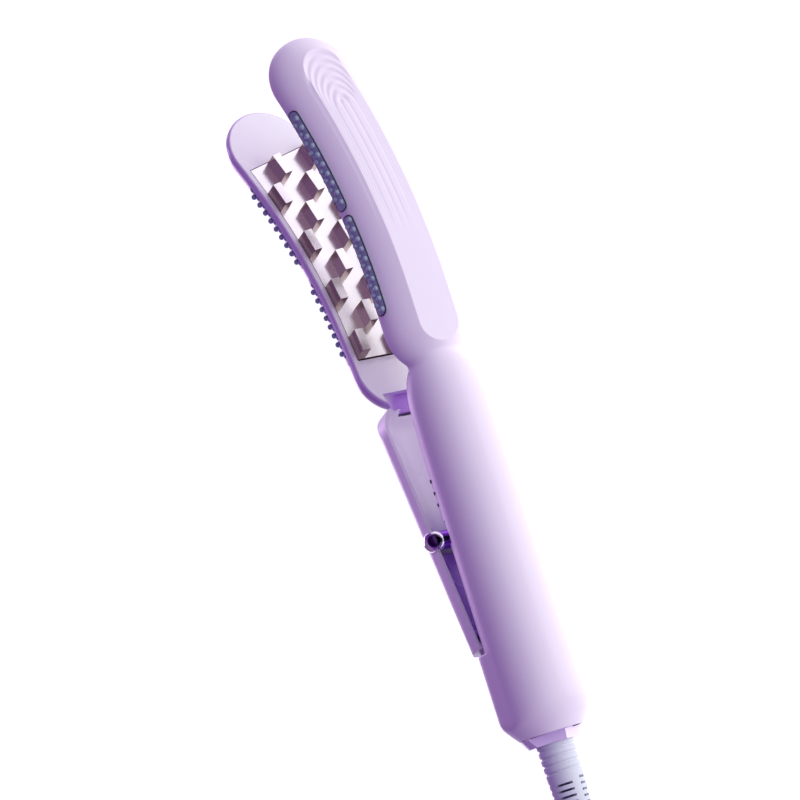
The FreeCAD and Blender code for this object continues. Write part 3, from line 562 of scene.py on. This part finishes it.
def trough_point(i, j):
    """Drawing point of the trough at step i along and j across it, from rim to rim."""
    x = TROUGH_X0 + (TROUGH_X1 - TROUGH_X0) * i / TROUGH_LONG_STEPS
    u = math.sin((2 * j / TROUGH_WIDE_STEPS - 1) * math.pi / 2)
    narrowed = smooth((x - 33.0) / 9.0) ** 0.35
    deep = TROUGH_DEEP * smooth((x - 35.0) / 12.0) ** 0.6 * smooth((120.2 - x) / 7.0) ** 0.6
    y = TROUGH_RIM_Y + deep * max(0.0, 1 - abs(u) ** 2.6) ** 0.8
    return x, y, trough_half(x) * narrowed * u


def open_in_trough(i, j):
    """True where the catch, the bolt or the step of the handle's cover passes the face at step i, j."""
    x = TROUGH_X0 + (TROUGH_X1 - TROUGH_X0) * (i + 0.5) / TROUGH_LONG_STEPS
    z = trough_half(x) * math.sin((2 * (j + 0.5) / TROUGH_WIDE_STEPS - 1) * math.pi / 2)
    catch = abs(x - BOLT_X) < 5.4 and -10.8 < z < -3.9
    bolt = abs(x - BOLT_X) < BOLT_ROOM and z > 3.0
    cover_step = x > 117.5 and abs(z) < 5.8
    return catch or bolt or cover_step


def trough_skin():
    """Smooth hollow in the lever's inner face."""
    nx, nz = TROUGH_LONG_STEPS, TROUGH_WIDE_STEPS
    verts = [WA(*trough_point(i, j)) for i in range(nx + 1) for j in range(nz + 1)]
    faces = []
    for i in range(nx):
        for j in range(nz):
            a = i * (nz + 1) + j
            if not open_in_trough(i, j):
                faces.append((a, a + 1, a + nz + 2, a + nz + 1))
    o = mesh("lever_trough", verts, faces, TROUGH, "lever_arm", angle=60)
    solid = o.modifiers.new("wall", "SOLIDIFY")
    solid.thickness = TROUGH_WALL
    solid.offset = 0.0
    return o


trough = trough_skin()


# ------------------------------------------------------------ joint lines round the bead strips
LINE_R = 0.00022
STRIPS = ((182.0, 220.0), (144.0, 179.8))
STRIP_Y, STRIP_HALF, STRIP_END_R = -1.1, 2.25, 1.85
PROUD = 0.03                   # how far the lines' middle stands off the head's side
LINE_STEPS = 16


def main_wall(y):
    """Z of the joint lines on the head's side at height y."""
    drop = HEAD_CROWN + HEAD_ROUND - y
    drawn_in = 0.0 if drop <= 0 else HEAD_ROUND - math.sqrt(HEAD_ROUND ** 2 - drop ** 2)
    return HEAD_HALF - drawn_in + PROUD


def tube(name, pts, radius, mat, body):
    """Closed thin round bead through points given in the row frame."""
    cu = bpy.data.curves.new(name, "CURVE")
    cu.dimensions = "3D"
    cu.bevel_depth = radius
    cu.bevel_resolution = 2
    sp = cu.splines.new("POLY")
    sp.points.add(len(pts) - 1)
    for p, v in zip(sp.points, pts):
        p.co = (*v, 1)
    sp.use_cyclic_u = True
    o = bpy.data.objects.new(name, cu)
    bpy.context.collection.objects.link(o)
    cu.materials.append(mat)
    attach(o, body)
    return o


def strip_line(name, s0, s1):
    """Dark joint line round the bead strip between stations s0 and s1."""
    left, right = s0 + STRIP_END_R, s1 - STRIP_END_R
    low, high = STRIP_Y - STRIP_HALF + STRIP_END_R, STRIP_Y + STRIP_HALF - STRIP_END_R
    loop = []
    for cs, cy, turn in ((right, high, 0), (left, high, 90), (left, low, 180), (right, low, 270)):
        for i in range(7):
            a = math.radians(turn + 15 * i)
            loop.append((cs + STRIP_END_R * math.cos(a), cy + STRIP_END_R * math.sin(a)))
        for k in range(1, LINE_STEPS):
            if turn == 0:
                loop.append((right + (left - right) * k / LINE_STEPS, high + STRIP_END_R))
            if turn == 180:
                loop.append((left + (right - left) * k / LINE_STEPS, low - STRIP_END_R))
    pts = []
    for s, y in loop:
        x, z = plan(s, main_wall(y))
        pts.append(W(x, y, z))
    return tube(name, pts, LINE_R, DARK, "handle_arm")


for k, (s0, s1) in enumerate(STRIPS):
    strip_line("main_strip_line_%d" % k, s0, s1)


# ------------------------------------------------------------ ball on the lock bolt
BALL_R, BALL_Z = 0.0036, 12.1
BALL_RINGS, BALL_STEPS = 24, 36


def ball(name, centre, radius, mat, body):
    """Round ball on a body."""
    verts = []
    for i in range(BALL_RINGS + 1):
        a = math.pi * i / BALL_RINGS
        for k in range(BALL_STEPS):
            b = 2 * math.pi * k / BALL_STEPS
            outward = Vector((math.sin(a) * math.cos(b), math.sin(a) * math.sin(b), math.cos(a)))
            verts.append(centre + radius * outward)
    return mesh(name, verts, ring_faces(BALL_RINGS + 1, BALL_STEPS), mat, body)


ball("lock_ball", WA(BOLT_X, BOLT_Y, BALL_Z), BALL_R, BALL, "lock_bolt")

# ------------------------------------------------------------ cord
CORD_R = 0.00275
lead = [(-44.0, CORD_Y, 0.0), (-57.0, 2.3, -1.0), (-70.0, 0.9, -4.2), (-84.0, -2.2, -8.2),
        (-98.0, -6.4, -10.1), (-113.0, -10.2, -10.35), (-128.0, -11.6, -10.35)]
tail = [(-128.0, 67.6, -4.9), (-108.0, 66.9, -6.0), (-88.0, 66.4, -6.4)]
COIL = (-128.0, 28.0)
COIL_LOW, COIL_HIGH = -10.35, -5.0
COIL_STEPS = 16
CROSSING = 0.45                # share of each turn in which the cord moves over to the next


def coil_points():
    """Turns of the coil: a lower layer from outside in, then an upper layer from inside out."""
    pts = []
    low, high = COIL_LOW, COIL_HIGH
    turns = [(39.8, low), (34.2, low), (28.6, low), (23.0, low)]
    turns += [(21.6, high), (27.0, high), (32.6, high), (38.2, high)]
    for k, (r, z) in enumerate(turns):
        nr, nz = turns[min(k + 1, len(turns) - 1)]
        for i in range(COIL_STEPS):
            t = i / COIL_STEPS
            blend = smooth((t - 1 + CROSSING) / CROSSING)
            a = -math.pi / 2 - 2 * math.pi * t
            rr = r + (nr - r) * blend
            zz = z + (nz - z) * blend
            pts.append((COIL[0] + rr * math.cos(a), COIL[1] + rr * math.sin(a), zz))
    return pts


def spline(name, pts, radius, mat):
    """Round cord along a smooth curve over the drawing points pts."""
    cu = bpy.data.curves.new(name, "CURVE")
    cu.dimensions = "3D"
    cu.bevel_depth = radius
    cu.bevel_resolution = 6
    sp = cu.splines.new("NURBS")
    sp.points.add(len(pts) - 1)
    for p, c in zip(sp.points, pts):
        p.co = (*W(*c), 1)
    sp.order_u = 3
    sp.use_endpoint_u = True
    sp.resolution_u = 6
    o = bpy.data.objects.new(name, cu)
    bpy.context.collection.objects.link(o)
    o.data.materials.append(mat)
    return o


# The coil's first point stands in for the last point of the lead, which it all but touches
flex = spline("cord", lead[:-1] + coil_points() + tail, CORD_R, GREY)
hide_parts("cord_lead", "cord_coil")
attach(flex, "handle_arm")


# ------------------------------------------------------------ stage, light, camera
FLOOR_SIZE, FLOOR_TONE, FLOOR_GLOW = 8, 0.6, 0.93
LIT_POINT = Vector((0.1, 0.0, 0.013))
SKY_BRIGHT_SIDE = (0.30, -0.83, -0.47)
SKY_ENDS = ((0.05, (0.20, 0.12, 0.25, 1)), (0.95, (1.46, 1.52, 1.34, 1)))
SKY_BETWEEN = ((0.13, (0.26, 0.15, 0.36, 1)), (0.26, (0.16, 0.04, 0.31, 1)),
               (0.50, (0.12, 0.03, 0.26, 1)), (0.70, (0.32, 0.18, 0.50, 1)))
CAMERA_LENS = 106.99
CAMERA_AT = W(-22.2, -632.8, 379.8)


def floor():
    """Pale glowing floor that the lights under it shine through."""
    bpy.ops.mesh.primitive_plane_add(size=FLOOR_SIZE, location=(0, 0, 0))
    o = bpy.context.object
    o.name = "floor"
    m, nt, b = node_mat("floor")
    b.inputs["Base Color"].default_value = (FLOOR_TONE, FLOOR_TONE, FLOOR_TONE, 1)
    b.inputs["Roughness"].default_value = 0.9
    b.inputs["Emission Color"].default_value = (1, 0.995, 1, 1)
    b.inputs["Emission Strength"].default_value = FLOOR_GLOW
    o.data.materials.append(m)
    o.visible_shadow = False


def area(name, loc, size, power, color=(1, 1, 1)):
    """Soft light aimed at the middle of the tool."""
    li = bpy.data.lights.new(name, "AREA")
    li.size = size
    li.energy = power
    li.color = color
    o = bpy.data.objects.new(name, li)
    bpy.context.collection.objects.link(o)
    o.location = loc
    o.rotation_euler = (LIT_POINT - Vector(loc)).to_track_quat("-Z", "Y").to_euler()


def sky():
    """Surroundings that run from near white, low towards -Y, to violet on the other side."""
    world = bpy.data.worlds.new("world")
    bpy.context.scene.world = world
    world.use_nodes = True
    nt = world.node_tree
    bg = nt.nodes["Background"]
    tc = nt.nodes.new("ShaderNodeTexCoord")
    dot = nt.nodes.new("ShaderNodeVectorMath")
    dot.operation = "DOT_PRODUCT"
    dot.inputs[1].default_value = SKY_BRIGHT_SIDE
    nt.links.new(tc.outputs["Generated"], dot.inputs[0])
    span = nt.nodes.new("ShaderNodeMapRange")
    span.inputs["From Min"].default_value = -1.0
    span.inputs["From Max"].default_value = 1.0
    nt.links.new(dot.outputs["Value"], span.inputs["Value"])
    ramp = nt.nodes.new("ShaderNodeValToRGB")
    nt.links.new(span.outputs["Result"], ramp.inputs["Fac"])
    for element, (at, color) in zip(ramp.color_ramp.elements, SKY_ENDS):
        element.position = at
        element.color = color
    for at, color in SKY_BETWEEN:
        ramp.color_ramp.elements.new(at).color = color
    nt.links.new(ramp.outputs["Color"], bg.inputs["Color"])
    bg.inputs["Strength"].default_value = 1.0


floor()
area("key", (0.45, -0.50, -0.76), 0.30, 0.5)
area("front", (0.2, -0.86, -0.45), 0.6, 1.5, (0.74, 1.0, 0.55))
area("fill", (0.35, 0.95, 0.20), 0.5, 3.3, (0.90, 0.66, 1.0))
sky()

cam = bpy.data.cameras.new("camera")
cam.sensor_width = 36.0
cam.lens = CAMERA_LENS
camera = bpy.data.objects.new("camera", cam)
bpy.context.collection.objects.link(camera)
right = Vector((-0.2967, -0.4253, -0.8550))
up = Vector((0.9366, -0.3046, -0.1735))
back = Vector((-0.1866, -0.8523, 0.4887))
rot = Matrix((right, up, back)).transposed().to_4x4()
camera.matrix_world = Matrix.Translation(CAMERA_AT) @ rot
bpy.context.scene.camera = camera
bpy.context.scene.view_settings.view_transform = "Standard"
